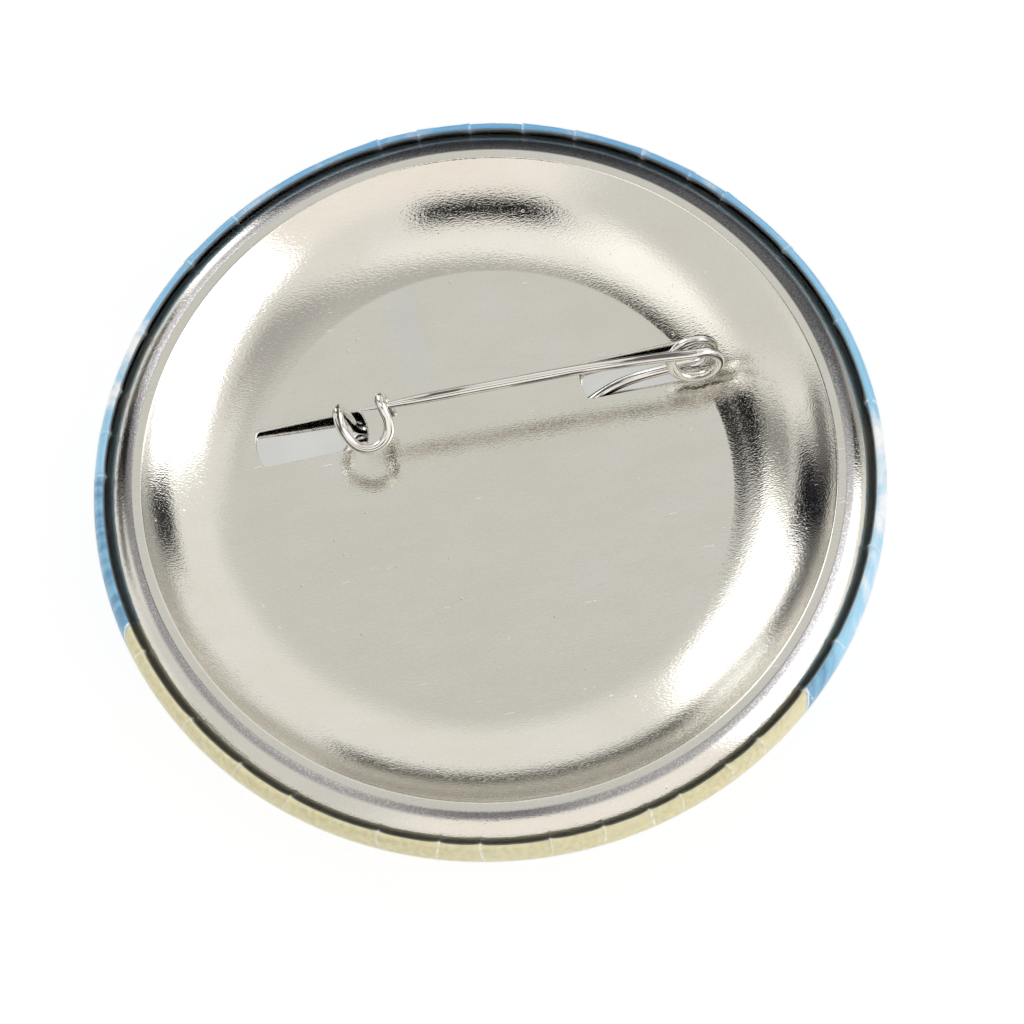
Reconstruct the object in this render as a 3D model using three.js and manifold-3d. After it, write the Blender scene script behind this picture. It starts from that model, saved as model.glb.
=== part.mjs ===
// A 75 mm pin-back button badge, lying on its printed face with the pin side up.
// Millimetres, +Z up. The origin is the lowest point of the front dome, on the badge's own axis.
// +X runs along the pin, from the catch (-X) to the spring coil (+X). +Y points to the badge's top edge.
import * as THREE from "three";
import { mergeVertices } from "three/addons/utils/BufferGeometryUtils.js";
import Module from "manifold-3d";

const wasm = await Module();
wasm.setup();

// ---- Driving dimensions ----

const TURN_STEPS = 48; // facets around every pressed round part

// The front: a shallow dome that rolls over the rim and curls in towards the back.
const BADGE_RADIUS = 37.5;
const DOME_RADIUS = 200;
const REST_FLAT_RADIUS = 2.5; // small flat at the middle of the dome that the badge rests on
const DOME_EDGE_RADIUS = 33.5; // where the dome starts to roll over the rim
const WIDEST_HEIGHT = 4.9;
const ROLL_START_PULL = 2.2; // the roll is one Bezier curve, with these two handles
const ROLL_END_PULL = 1.1;
const CURL_RADIUS = 2.7; // the rim above its widest circle curls in on this radius
const CURL_ANGLE = THREE.MathUtils.degToRad(38.9);

// Sheets of the front, from the outside in.
const FILM_THICKNESS = 0.1;
const PAPER_THICKNESS = 0.12;
const STEEL_THICKNESS = 0.25;
const SHEET_GAP = 0.03;
const TUCK_LENGTH = 1.3; // how far film and paper run down inside the shell's edge

// The back plate: a flat floor, a hollow wall up to the crest, and a skirt into the rim.
const FLOOR_HEIGHT = 2.85; // its upper face
const FLOOR_RADIUS = 22.9;
const WALL_RADIUS = 17.2;
const WALL_START_ANGLE = THREE.MathUtils.degToRad(8);
const WALL_END_ANGLE = THREE.MathUtils.degToRad(45);
const CREST_WIDTH = 0.8; // flat ring that lies against the cloth
// The shoulder falls from the crest to the skirt in three arcs.
// Each starts at the slope where the last one ended.
const SHOULDER_ARCS = [
  { radius: 0.3, endSlope: THREE.MathUtils.degToRad(23), steps: 1 },
  { radius: 6, endSlope: THREE.MathUtils.degToRad(55), steps: 4 },
  { radius: 0.6, endSlope: THREE.MathUtils.degToRad(80), steps: 1 },
];
const SKIRT_RADIUS = 36.3;
const SKIRT_HEIGHT = 4.95;

// Two slots let the wire through the back plate.
const SLOT_LENGTH = 10.65;
const SLOT_WIDTH = 3.7;
const SLOT_SPACING = 31.5;
const SLOT_PAIR_SHIFT = 0.27;
const SLOT_LINE_Y = 9.0;
const SLOT_END_RADIUS = 4.5;
const SLOT_CUTTER_DEPTH = 2;

// One length of spring wire makes the base, the catch, the coil and the pin arm.
const WIRE_RADIUS = 0.5;
const WIRE_SIDES = 10;
const WIRE_JOINT_GAP = 0.03; // between two stretches of the wire
const COIL_CENTRE = new THREE.Vector3(21.55, 6.357, 6.54);
const COIL_RADIUS = 2.21;
const COIL_PITCH = 1.35;
const COIL_LEAN = 0.241; // the coil's turns lean this far in Y for each millimetre of height
const COIL_DRIFT = -0.2; // each turn lies this much further along X than the one before
const COIL_TURNS = 1.5;
const COIL_STEPS_PER_TURN = 26;
const TIP_LENGTH = 7.7; // ground point at the end of the pin arm
const TIP_RADIUS = 0.04;
const TIP_STEPS = 6;
const TIP_OVERLAP = 0.05; // how far the arm's round bar runs into the ground point
const ARM_STEPS = 18;
const BASE_STEPS = 30;
const CATCH_STEPS = 64;

// Where the wire runs, stretch by stretch. Each list follows the wire's centre line.
const ARM_ROUTE = [
  [18.11, 7.22, 8.8],
  [14.32, 7.48, 8.88],
  [9.56, 7.73, 8.93],
  [-1.63, 8.05, 8.9],
];
const ARM_POINT = [-10.64, 8.36, 8.7];
const BASE_ROUTE = [
  [18.71, 7.98, 4.05],
  [16.29, 8.06, 3.55],
  [14.1, 8.02, 2.75],
  [12.3, 7.66, 2.08],
  [10.6, 7.0, 1.95],
  [8.4, 6.75, 1.95],
  [4.0, 7.3, 1.95],
  [-3.0, 8.6, 1.95],
  [-8.3, 9.15, 2.02],
];
const CATCH_ROUTE = [
  [-8.33, 9.153, 2.02],
  [-9.7, 9.2, 2.03],
  [-10.75, 9.2, 2.3],
  [-11.3, 9.2, 3.1],
  [-11.55, 9.2, 4.6],
  [-11.9, 9.15, 6.4],
  [-12.3, 8.95, 8.2],
  [-12.52, 8.65, 9.25],
  [-12.63, 8.1, 9.7],
  [-12.66, 7.5, 9.4],
  [-12.55, 6.85, 8.75],
  [-12.1, 6.0, 7.95],
  [-11.35, 5.2, 7.42],
  [-10.25, 4.87, 7.25],
  [-9.1, 5.15, 7.42],
  [-8.32, 5.85, 7.95],
  [-8.2, 6.8, 8.8],
  [-8.38, 7.5, 9.5],
  [-8.5, 8.15, 9.84],
  [-8.48, 8.85, 9.55],
  [-8.3, 9.2, 8.75],
  [-8.0, 9.0, 7.75],
  [-7.7, 8.45, 7.05],
  [-7.55, 7.9, 6.8],
];

// ---- Working geometry ----

function point(x, y) {
  return new THREE.Vector2(x, y);
}

const SHELL_DEPTH = FILM_THICKNESS + PAPER_THICKNESS + 2 * SHEET_GAP; // from the badge's outside to the steel
const EDGE_FOLD_RADIUS = SHELL_DEPTH + STEEL_THICKNESS / 2;

function domeHeight(radius) {
  return DOME_RADIUS - Math.sqrt(DOME_RADIUS ** 2 - radius ** 2);
}

// The outside of the front in section (x is the radius, y the height), from the rest flat to the rim's edge.
// Each entry is a point with the outward normal there, so that inner sheets can be set off from it.
function frontSection() {
  const section = [{ at: point(0, 0), normal: point(0, -1) }];
  const domeSteps = 3;
  for (let i = 0; i <= domeSteps; i++) {
    const radius = THREE.MathUtils.lerp(REST_FLAT_RADIUS, DOME_EDGE_RADIUS, i / domeSteps);
    const lean = Math.asin(radius / DOME_RADIUS);
    const height = domeHeight(radius) - domeHeight(REST_FLAT_RADIUS);
    section.push({ at: point(radius, height), normal: point(Math.sin(lean), -Math.cos(lean)) });
  }
  const start = section.at(-1);
  const along = point(-start.normal.y, start.normal.x);
  const roll = new THREE.CubicBezierCurve(
    start.at,
    start.at.clone().addScaledVector(along, ROLL_START_PULL),
    point(BADGE_RADIUS, WIDEST_HEIGHT - ROLL_END_PULL),
    point(BADGE_RADIUS, WIDEST_HEIGHT),
  );
  const rollSteps = 4;
  for (let i = 1; i <= rollSteps; i++) {
    const tangent = roll.getTangent(i / rollSteps);
    section.push({ at: roll.getPoint(i / rollSteps), normal: point(tangent.y, -tangent.x) });
  }
  const curlSteps = 3;
  for (let i = 1; i <= curlSteps; i++) {
    const angle = (CURL_ANGLE * i) / curlSteps;
    const outwards = point(Math.cos(angle), Math.sin(angle));
    const centre = point(BADGE_RADIUS - CURL_RADIUS, WIDEST_HEIGHT);
    section.push({ at: centre.addScaledVector(outwards, CURL_RADIUS), normal: outwards });
  }
  return section;
}

// The front section moved inwards by depth.
function setIn(section, depth) {
  return section.map(({ at, normal }) => at.clone().addScaledVector(normal, -depth));
}

// Points on the half circle that turns a sheet over the shell's edge, between its two straight sides.
function edgeFold(section, radius, steps) {
  const { at, normal } = section.at(-1);
  const centre = at.clone().addScaledVector(normal, -EDGE_FOLD_RADIUS);
  const points = [];
  for (let i = 1; i < steps; i++) {
    const outwards = normal.clone().rotateAround(point(0, 0), (Math.PI * i) / steps);
    points.push(centre.clone().addScaledVector(outwards, radius));
  }
  return points;
}

// The stretch of a sheet tucked in behind the shell's edge, from the fold downwards.
function tuck(section, depth) {
  const inner = setIn(section, depth);
  const points = [inner.at(-1)];
  let left = TUCK_LENGTH;
  for (let i = inner.length - 1; i > 0 && left > 0; i--) {
    const step = inner[i - 1].clone().sub(inner[i]);
    const share = Math.min(1, left / step.length());
    points.push(inner[i].clone().addScaledVector(step, share));
    left -= step.length();
  }
  return points;
}

// Film or paper: it covers the front, folds over the shell's edge and is tucked in behind it.
function wrappedSheet(section, depth, thickness) {
  const foldSteps = 4;
  const farDepth = 2 * EDGE_FOLD_RADIUS - depth;
  const outside = [
    ...setIn(section, depth),
    ...edgeFold(section, EDGE_FOLD_RADIUS - depth, foldSteps),
    ...tuck(section, farDepth),
  ];
  const inside = [
    ...setIn(section, depth + thickness),
    ...edgeFold(section, EDGE_FOLD_RADIUS - depth - thickness, foldSteps),
    ...tuck(section, farDepth - thickness),
  ];
  return turned([...outside, ...inside.reverse()]);
}

// A closed solid of revolution from a profile of radius and height.
function turned(profile) {
  const closed = profile[0].x > 0 || profile.at(-1).x > 0 ? [...profile, profile[0]] : profile;
  const lathe = new THREE.LatheGeometry(closed, TURN_STEPS);
  return lathe.rotateX(Math.PI / 2);
}

function frontShell(section) {
  const foldSteps = 3;
  const outside = [...setIn(section, SHELL_DEPTH), ...edgeFold(section, STEEL_THICKNESS / 2, foldSteps)];
  const inside = setIn(section, SHELL_DEPTH + STEEL_THICKNESS);
  return turned([...outside, ...inside.reverse()]);
}

// The upper face of the back plate in section, from the middle to the lower edge of its skirt.
function plateSection() {
  const section = [
    { at: point(0, FLOOR_HEIGHT), normal: point(0, 1) },
    { at: point(FLOOR_RADIUS, FLOOR_HEIGHT), normal: point(0, 1) },
  ];
  const wallSteps = 6;
  const wallCentre = point(
    FLOOR_RADIUS - WALL_RADIUS * Math.sin(WALL_START_ANGLE),
    FLOOR_HEIGHT + WALL_RADIUS * Math.cos(WALL_START_ANGLE),
  );
  for (let i = 1; i <= wallSteps; i++) {
    const angle = THREE.MathUtils.lerp(WALL_START_ANGLE, WALL_END_ANGLE, i / wallSteps);
    const normal = point(-Math.sin(angle), Math.cos(angle));
    section.push({ at: wallCentre.clone().addScaledVector(normal, -WALL_RADIUS), normal });
  }
  section.push({ at: section.at(-1).at.clone().add(point(CREST_WIDTH, 0)), normal: point(0, 1) });
  let slope = 0;
  for (const { radius, endSlope, steps } of SHOULDER_ARCS) {
    const up = point(Math.sin(slope), Math.cos(slope));
    const centre = section.at(-1).at.clone().addScaledVector(up, -radius);
    for (let i = 1; i <= steps; i++) {
      const angle = THREE.MathUtils.lerp(slope, endSlope, i / steps);
      const normal = point(Math.sin(angle), Math.cos(angle));
      section.push({ at: centre.clone().addScaledVector(normal, radius), normal });
    }
    slope = endSlope;
  }
  const bend = section.at(-1).at;
  const skirtNormal = point(bend.y - SKIRT_HEIGHT, SKIRT_RADIUS - bend.x).normalize();
  section.push({ at: point(SKIRT_RADIUS, SKIRT_HEIGHT), normal: skirtNormal });
  return section;
}

// One slot's cutter: straight sides and bowed ends, tall enough to pass through the plate's floor.
function slotCutter(centreX) {
  const half = SLOT_WIDTH / 2;
  const bow = SLOT_END_RADIUS - Math.sqrt(SLOT_END_RADIUS ** 2 - half ** 2);
  const sweep = Math.asin(half / SLOT_END_RADIUS);
  const arcX = SLOT_LENGTH / 2 - SLOT_END_RADIUS;
  const outline = new THREE.Shape();
  outline.moveTo(bow - SLOT_LENGTH / 2, -half);
  outline.lineTo(SLOT_LENGTH / 2 - bow, -half);
  outline.absarc(arcX, 0, SLOT_END_RADIUS, -sweep, sweep, false);
  outline.lineTo(bow - SLOT_LENGTH / 2, half);
  outline.absarc(-arcX, 0, SLOT_END_RADIUS, Math.PI - sweep, Math.PI + sweep, false);
  const options = { depth: SLOT_CUTTER_DEPTH, bevelEnabled: false, curveSegments: 8 };
  const cutter = new THREE.ExtrudeGeometry(outline, options);
  return cutter.translate(centreX, SLOT_LINE_Y, FLOOR_HEIGHT - SLOT_CUTTER_DEPTH / 2);
}

function toSolid(geometry) {
  const bare = geometry.clone();
  bare.deleteAttribute("normal");
  bare.deleteAttribute("uv");
  const merged = mergeVertices(bare);
  return new wasm.Manifold(
    new wasm.Mesh({
      numProp: 3,
      vertProperties: merged.getAttribute("position").array,
      triVerts: new Uint32Array(merged.index.array),
    }),
  );
}

function toGeometry(solid) {
  const mesh = solid.getMesh();
  const geometry = new THREE.BufferGeometry();
  geometry.setAttribute("position", new THREE.BufferAttribute(mesh.vertProperties, mesh.numProp));
  geometry.setIndex(new THREE.BufferAttribute(mesh.triVerts, 1));
  geometry.computeVertexNormals();
  return geometry;
}

function backPlate() {
  const section = plateSection();
  const upper = setIn(section, 0);
  const lower = setIn(section, STEEL_THICKNESS);
  let plate = toSolid(turned([...lower, ...upper.reverse()]));
  for (const side of [-1, 1]) {
    plate = plate.subtract(toSolid(slotCutter(SLOT_PAIR_SHIFT + (side * SLOT_SPACING) / 2)));
  }
  return toGeometry(plate);
}

// The spring coil's centre line: a helix from the pin arm, over the top, to the base wire at the bottom.
class CoilCurve extends THREE.Curve {
  getPoint(share, target = new THREE.Vector3()) {
    const angle = 2 * Math.PI * COIL_TURNS * share;
    const rise = COIL_RADIUS * Math.cos(angle);
    const y = COIL_CENTRE.y + (COIL_PITCH * angle) / (2 * Math.PI) + COIL_LEAN * rise;
    const x = COIL_CENTRE.x + COIL_DRIFT * COIL_TURNS * share + COIL_RADIUS * Math.sin(angle);
    return target.set(x, y, COIL_CENTRE.z + rise);
  }
}

// A closed round bar along a curve.
function wireAlong(curve, steps) {
  const section = new THREE.Shape();
  for (let i = 0; i < WIRE_SIDES; i++) {
    const angle = (2 * Math.PI * i) / WIRE_SIDES;
    const x = WIRE_RADIUS * Math.cos(angle);
    const y = WIRE_RADIUS * Math.sin(angle);
    if (i === 0) section.moveTo(x, y);
    else section.lineTo(x, y);
  }
  section.closePath();
  return new THREE.ExtrudeGeometry(section, { steps, bevelEnabled: false, extrudePath: curve });
}

function routeCurve(route) {
  return new THREE.CatmullRomCurve3(route.map((place) => new THREE.Vector3(...place)));
}

// Moves along a curve's end tangent, away from the curve, by one joint gap.
function beyond(curve, share, sign) {
  const place = curve.getPoint(share);
  return place.addScaledVector(curve.getTangent(share), sign * WIRE_JOINT_GAP).toArray();
}

// The ground point: a lathe whose radius eases down from the wire to the tip.
function groundPoint(from, to) {
  const axis = new THREE.Vector3().subVectors(to, from);
  const profile = [point(0, 0)];
  for (let i = 0; i <= TIP_STEPS; i++) {
    const share = i / TIP_STEPS;
    const radius = WIRE_RADIUS - (WIRE_RADIUS - TIP_RADIUS) * share ** 2;
    profile.push(point(radius, axis.length() * share));
  }
  profile.push(point(0, axis.length()));
  const cone = new THREE.LatheGeometry(profile, WIRE_SIDES);
  const turn = new THREE.Quaternion();
  turn.setFromUnitVectors(new THREE.Vector3(0, 1, 0), axis.clone().normalize());
  return cone.applyQuaternion(turn).translate(from.x, from.y, from.z);
}

function pinArm(coil) {
  const end = new THREE.Vector3(...ARM_POINT);
  const last = new THREE.Vector3(...ARM_ROUTE.at(-1));
  const back = new THREE.Vector3().subVectors(last, end).setLength(TIP_LENGTH);
  const tipStart = end.clone().add(back);
  const overlap = tipStart.clone().addScaledVector(back, -TIP_OVERLAP / TIP_LENGTH);
  const curve = routeCurve([beyond(coil, 0, -1), ...ARM_ROUTE, overlap.toArray()]);
  return toGeometry(toSolid(wireAlong(curve, ARM_STEPS)).add(toSolid(groundPoint(tipStart, end))));
}

// ---- The badge ----

const tinplate = { color: 0xcbc8bf, roughness: 0.3, metalness: 1 };
const nickelWire = { color: 0xdedbd4, roughness: 0.12, metalness: 1 };
const group = new THREE.Group();
group.name = "button_badge";

function addPart(name, geometry, finish) {
  const mesh = new THREE.Mesh(geometry, new THREE.MeshStandardMaterial(finish));
  mesh.name = name;
  group.add(mesh);
}

const section = frontSection();
const coil = new CoilCurve();
addPart("clear_film", wrappedSheet(section, 0, FILM_THICKNESS), {
  color: 0xe8f0f4,
  roughness: 0.12,
  metalness: 0,
  transparent: true,
  opacity: 0.35,
});
addPart("printed_sheet", wrappedSheet(section, FILM_THICKNESS + SHEET_GAP, PAPER_THICKNESS), {
  color: 0x6fb2da,
  roughness: 0.6,
  metalness: 0,
});
addPart("front_shell", frontShell(section), tinplate);
addPart("back_plate", backPlate(), tinplate);
addPart("spring_coil", wireAlong(coil, COIL_TURNS * COIL_STEPS_PER_TURN), nickelWire);
addPart("pin_arm", pinArm(coil), nickelWire);
const baseCurve = routeCurve([beyond(coil, 1, 1), ...BASE_ROUTE]);
addPart("base_wire", wireAlong(baseCurve, BASE_STEPS), nickelWire);
addPart("catch_hook", wireAlong(routeCurve(CATCH_ROUTE), CATCH_STEPS), nickelWire);

export default group;
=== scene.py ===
import math
import random

import bmesh
import bpy
import numpy as np
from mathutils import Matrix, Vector
from mathutils.geometry import delaunay_2d_cdt


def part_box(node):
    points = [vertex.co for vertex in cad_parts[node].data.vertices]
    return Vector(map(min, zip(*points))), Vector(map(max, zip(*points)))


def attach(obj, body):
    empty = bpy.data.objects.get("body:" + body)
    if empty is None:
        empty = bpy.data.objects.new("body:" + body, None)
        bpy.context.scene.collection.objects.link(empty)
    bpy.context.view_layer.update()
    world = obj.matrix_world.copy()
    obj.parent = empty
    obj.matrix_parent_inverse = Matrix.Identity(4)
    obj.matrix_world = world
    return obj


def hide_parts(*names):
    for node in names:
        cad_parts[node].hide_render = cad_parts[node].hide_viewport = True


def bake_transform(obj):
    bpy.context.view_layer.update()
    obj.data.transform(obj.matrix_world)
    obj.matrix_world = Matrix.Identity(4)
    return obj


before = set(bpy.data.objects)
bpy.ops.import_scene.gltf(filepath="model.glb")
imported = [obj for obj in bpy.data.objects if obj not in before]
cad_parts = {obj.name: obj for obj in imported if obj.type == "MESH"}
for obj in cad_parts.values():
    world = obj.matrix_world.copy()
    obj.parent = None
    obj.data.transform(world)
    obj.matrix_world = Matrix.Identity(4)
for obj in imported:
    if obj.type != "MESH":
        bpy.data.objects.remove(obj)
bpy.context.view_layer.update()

# A button badge seen from its pin side. Lengths are millimetres until a mesh is made; MM turns them to metres.
# The back plate, shell, print, film and wire are rebuilt finely on the same dimensions as the CAD nodes.

MM = 0.001
MERGE_DISTANCE = 1e-7  # metres
film_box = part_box("clear_film")
plate_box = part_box("back_plate")

# ---- Dimensions ----

BADGE_RADIUS = film_box[1].x / MM
DOME_RADIUS = 200.0
REST_FLAT_RADIUS = 2.5
DOME_EDGE_RADIUS = 33.5
WIDEST_HEIGHT = 4.9
ROLL_START_PULL = 2.2
ROLL_END_PULL = 1.1
CURL_RADIUS = 2.7
CURL_ANGLE = math.radians(38.9)
FILM_THICKNESS = 0.1
PAPER_THICKNESS = 0.12
STEEL_THICKNESS = 0.25
SHEET_GAP = 0.03
TUCK_LENGTH = 1.3
SHELL_DEPTH = FILM_THICKNESS + PAPER_THICKNESS + 2 * SHEET_GAP
FOLD_RADIUS = SHELL_DEPTH + STEEL_THICKNESS / 2

FLOOR_HEIGHT = 2.85
FLOOR_RADIUS = 22.9
FLOOR_BEND_RADIUS = 2.2
FLOOR_LIP = 0.3
WALL_RADIUS = 17.2
WALL_START = math.radians(8)
WALL_END = math.radians(45)
CREST_WIDTH = 0.8
CREST_ROUNDING = 0.35
SHOULDER_ARCS = ((0.3, math.radians(23)), (6.0, math.radians(55)), (0.6, math.radians(80)))
SKIRT_RADIUS = 36.3
SKIRT_HEIGHT = plate_box[0].z / MM + 2.35
PLATE_STEPS = 300
SHELL_STEPS = 240

SLOT_LENGTH = 10.65
SLOT_WIDTH = 3.7
SLOT_SPACING = 31.5
SLOT_PAIR_SHIFT = 0.27
SLOT_LINE_Y = 9.0
SLOT_END_RADIUS = 4.5
SLOT_CORNER_RADIUS = 0.45
SLOT_EDGE_ROUNDING = 0.12
SLOT_BURR = 0.02
SLOT_MARGIN = 0.15  # flat sheet kept around a slot's rounded edge
SLOT_REACH = 23.5  # the slots end within this radius, just past the edge of the floor

WIRE_RADIUS = 0.5
WIRE_SIDES = 24
WIRE_STEP = 0.25
BALL_END_ANGLES = (20, 45, 65, 80, 88)
BALL_END_SHRINK = 0.995
CUT_END_BEVEL = 0.12
CUT_END_CENTRE = 0.02
COIL_CENTRE = (21.55, 6.357, 6.54)
COIL_RADIUS = 2.21
COIL_PITCH = 1.35
COIL_LEAN = 0.241
COIL_DRIFT = -0.2
COIL_TURNS = 1.5
COIL_STEPS = 36
TIP_LENGTH = 7.7
TIP_RADIUS = 0.04

# The wire's centre line, stretch by stretch, as in the CAD model.
ARM_ROUTE = [
    (-10.64, 8.36, 8.7), (-1.63, 8.05, 8.9), (9.56, 7.73, 8.93), (14.32, 7.48, 8.88), (18.11, 7.22, 8.8),
]
BASE_ROUTE = [
    (18.71, 7.98, 4.05), (16.29, 8.06, 3.55), (14.1, 8.02, 2.75), (12.3, 7.66, 2.08), (10.6, 7.0, 1.95),
    (8.4, 6.75, 1.95), (4.0, 7.3, 1.95), (-3.0, 8.6, 1.95), (-8.3, 9.15, 2.02),
]
CATCH_ROUTE = [
    (-9.7, 9.2, 2.03), (-10.75, 9.2, 2.3), (-11.3, 9.2, 3.1), (-11.55, 9.2, 4.6), (-11.9, 9.15, 6.4),
    (-12.3, 8.95, 8.2), (-12.52, 8.65, 9.25), (-12.63, 8.1, 9.7), (-12.66, 7.5, 9.4), (-12.55, 6.85, 8.75),
    (-12.1, 6.0, 7.95), (-11.35, 5.2, 7.42), (-10.25, 4.87, 7.25), (-9.1, 5.15, 7.42), (-8.32, 5.85, 7.95),
    (-8.2, 6.8, 8.8), (-8.38, 7.5, 9.45), (-8.5, 8.15, 9.75), (-8.48, 8.85, 9.5), (-8.3, 9.2, 8.75),
    (-8.0, 9.0, 7.75), (-7.7, 8.45, 7.05), (-7.55, 7.9, 6.8),
]

# Where the film and paper are pleated, in degrees around the rim from +X towards +Y.
PLEATS = [
    -1, 13, 27, 40, 46, 54, 65, 73, 81, 89, 95, 120, 130, 143, 153, 160, 167, 196, 209,
    219, 228, 242, 251, 257, 267, 275, 282, 287, 295, 301, 311, 320, 336,
]
PLEAT_SEED = 7
RIM_STEP = 0.75  # degrees
PLEAT_STEPS = (-0.9, -0.6, -0.45, -0.3, -0.15, 0, 0.15, 0.3, 0.45, 0.6, 0.9)
WRAP_SLACK = 0.04
LONG_RIPPLE, LONG_RIPPLE_COUNT = 0.012, 47
SHORT_RIPPLE, SHORT_RIPPLE_COUNT = 0.009, 113
FLAP_HEIGHTS = (0.07, 0.16)
FLAP_LENGTHS = (0.5, 1.5)
FLAP_LEANS = (-0.8, 0.8)
GROOVE_DEPTH = 0.05
GROOVE_LENGTH = 0.25
CREASE_STRENGTHS = (0.4, 1.0)
CREASE_OFFSET = 0.05
CREASE_WIDTH = 0.1
RELIEF_LIMIT = 0.19
CUSP_HEIGHT = 0.24
CUSP_LENGTH = 0.35
CURL_STEPS = 9
FOLD_STEPS = 10
FOLD_FLATTENING = 0.7  # how much of the pleats' relief is lost over the fold
SHADE_FROM = 0.3  # the print darkens inside the rim from this share of the fold
SHADE_SPREAD = 0.25

# ---- Camera ----

VIEW_TARGET = Vector((0, 0, 6.7)) * MM
VIEW_DISTANCE = 450 * MM
VIEW_ELEVATION = math.radians(67.48)
VIEW_AZIMUTH = math.radians(5.57)  # the camera stands this far round from the near side towards the catch
VIEW_ROLL = math.radians(6.81)
VIEW_PAN = (1.773 * MM, -3.67 * MM)  # the optical axis passes this far right of and above the target
VIEW_LENS = 168.6


def add_camera():
    """The camera, with the badge a little off the middle of its frame."""
    right = Vector((math.cos(VIEW_AZIMUTH), -math.sin(VIEW_AZIMUTH), 0))
    ahead = Vector((math.sin(VIEW_AZIMUTH), math.cos(VIEW_AZIMUTH), 0))
    up = ahead * math.sin(VIEW_ELEVATION) + Vector((0, 0, math.cos(VIEW_ELEVATION)))
    place = VIEW_TARGET + right.cross(up) * VIEW_DISTANCE
    look = (VIEW_TARGET + right * VIEW_PAN[0] + up * VIEW_PAN[1] - place).normalized()
    side = right * math.cos(VIEW_ROLL) - up * math.sin(VIEW_ROLL)
    side = (side - look * side.dot(look)).normalized()
    top = side.cross(look)
    data = bpy.data.cameras.new("photo_view")
    data.lens = VIEW_LENS
    data.sensor_width = 36
    data.clip_start = 10 * MM
    data.clip_end = 10
    camera = bpy.data.objects.new("photo_view", data)
    bpy.context.scene.collection.objects.link(camera)
    turn = camera.matrix_world.copy()
    for row in range(3):
        turn[row][0], turn[row][1], turn[row][2], turn[row][3] = side[row], top[row], -look[row], place[row]
    camera.matrix_world = turn
    bpy.context.scene.camera = camera


# ---- Node graphs ----

class Graph:
    """Short forms for building a node tree."""

    def __init__(self, tree):
        self.tree = tree

    def node(self, kind, inputs=None, **settings):
        made = self.tree.nodes.new(kind)
        for name, value in settings.items():
            setattr(made, name, value)
        for name, value in (inputs or {}).items():
            self.feed(made.inputs[name], value)
        return made

    def feed(self, socket, value):
        if isinstance(value, bpy.types.NodeSocket):
            self.tree.links.new(value, socket)
        else:
            socket.default_value = value

    def math(self, operation, *values):
        made = self.tree.nodes.new("ShaderNodeMath")
        made.operation = operation
        for socket, value in zip(made.inputs, values):
            self.feed(socket, value)
        return made.outputs[0]

    def ramp(self, value, low, high, to_low=0.0, to_high=1.0, smooth=True):
        """value mapped from low..high to to_low..to_high, eased when smooth."""
        made = self.node("ShaderNodeMapRange", {
            "Value": value, "From Min": low, "From Max": high, "To Min": to_low, "To Max": to_high,
        }, interpolation_type="SMOOTHSTEP" if smooth else "LINEAR")
        return made.outputs["Result"]

    def mix(self, share, first, second):
        made = self.tree.nodes.new("ShaderNodeMix")
        made.data_type = "RGBA"
        self.feed(made.inputs["Factor"], share)
        self.feed(made.inputs[6], first)
        self.feed(made.inputs[7], second)
        return made.outputs[2]

    def noise(self, vector, scale, detail=2.0, roughness=0.5, distortion=0.0):
        return self.node("ShaderNodeTexNoise", {
            "Vector": vector, "Scale": scale, "Detail": detail, "Roughness": roughness,
            "Distortion": distortion,
        }).outputs[0]

    def stretched(self, vector, scale, turn=0.0):
        """Coordinates turned about Z by turn, then scaled, so that a texture follows a straight grain."""
        made = self.node("ShaderNodeMapping", {"Vector": vector, "Scale": scale, "Rotation": (0, 0, turn)})
        return made.outputs[0]

    def vector(self, operation, first, second=(0, 0, 0)):
        return self.node("ShaderNodeVectorMath", {0: first, 1: second}, operation=operation)

    def length(self, vector):
        return self.vector("LENGTH", vector).outputs["Value"]

    def millimetres(self):
        """The place on the object, in millimetres."""
        place = self.node("ShaderNodeTexCoord").outputs["Object"]
        return self.vector("MULTIPLY", place, (1000, 1000, 1000)).outputs[0]

    def bump(self, height, strength, distance):
        """The normal of a surface with this height, at most distance millimetres high."""
        return self.node("ShaderNodeBump", {
            "Strength": strength, "Distance": distance * MM, "Height": height,
        }).outputs[0]


def rgb(red, green, blue):
    """A display colour from 0 to 255 as a linear colour."""
    shares = [c / 255 for c in (red, green, blue)]
    return tuple(c / 12.92 if c <= 0.04045 else ((c + 0.055) / 1.055) ** 2.4 for c in shares) + (1.0,)


def new_material(name):
    """An empty material with its output and Principled shader, and a Graph to build on."""
    material = bpy.data.materials.new(name)
    material.use_nodes = True
    graph = Graph(material.node_tree)
    shader = material.node_tree.nodes["Principled BSDF"]
    return material, graph, shader


# ---- Materials ----

GRAIN_ANGLE = math.radians(-12.9)  # the sheet's rolling grain, against +X
SCRATCH_ANGLE = math.radians(57)
TIN = (0.775, 0.752, 0.690, 1)
TIN_PALE = (0.795, 0.776, 0.722, 1)
TIN_MOTTLE = (0.730, 0.702, 0.632, 1)
TIN_DARK = (0.62, 0.60, 0.55, 1)
SPECK = (0.9, 0.9, 0.88, 1)
SCRATCH = (0.95, 0.95, 0.93, 1)
SMEAR = (0.70, 0.74, 0.80, 1)
SMEAR_PLACE = (-4.4, 17.0, 0.0)  # a faint bluish smear on the floor, above the pin
SMEAR_SHAPE = (0.5, 0.11, 0)
SMEAR_TURN = math.radians(-12)

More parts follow.
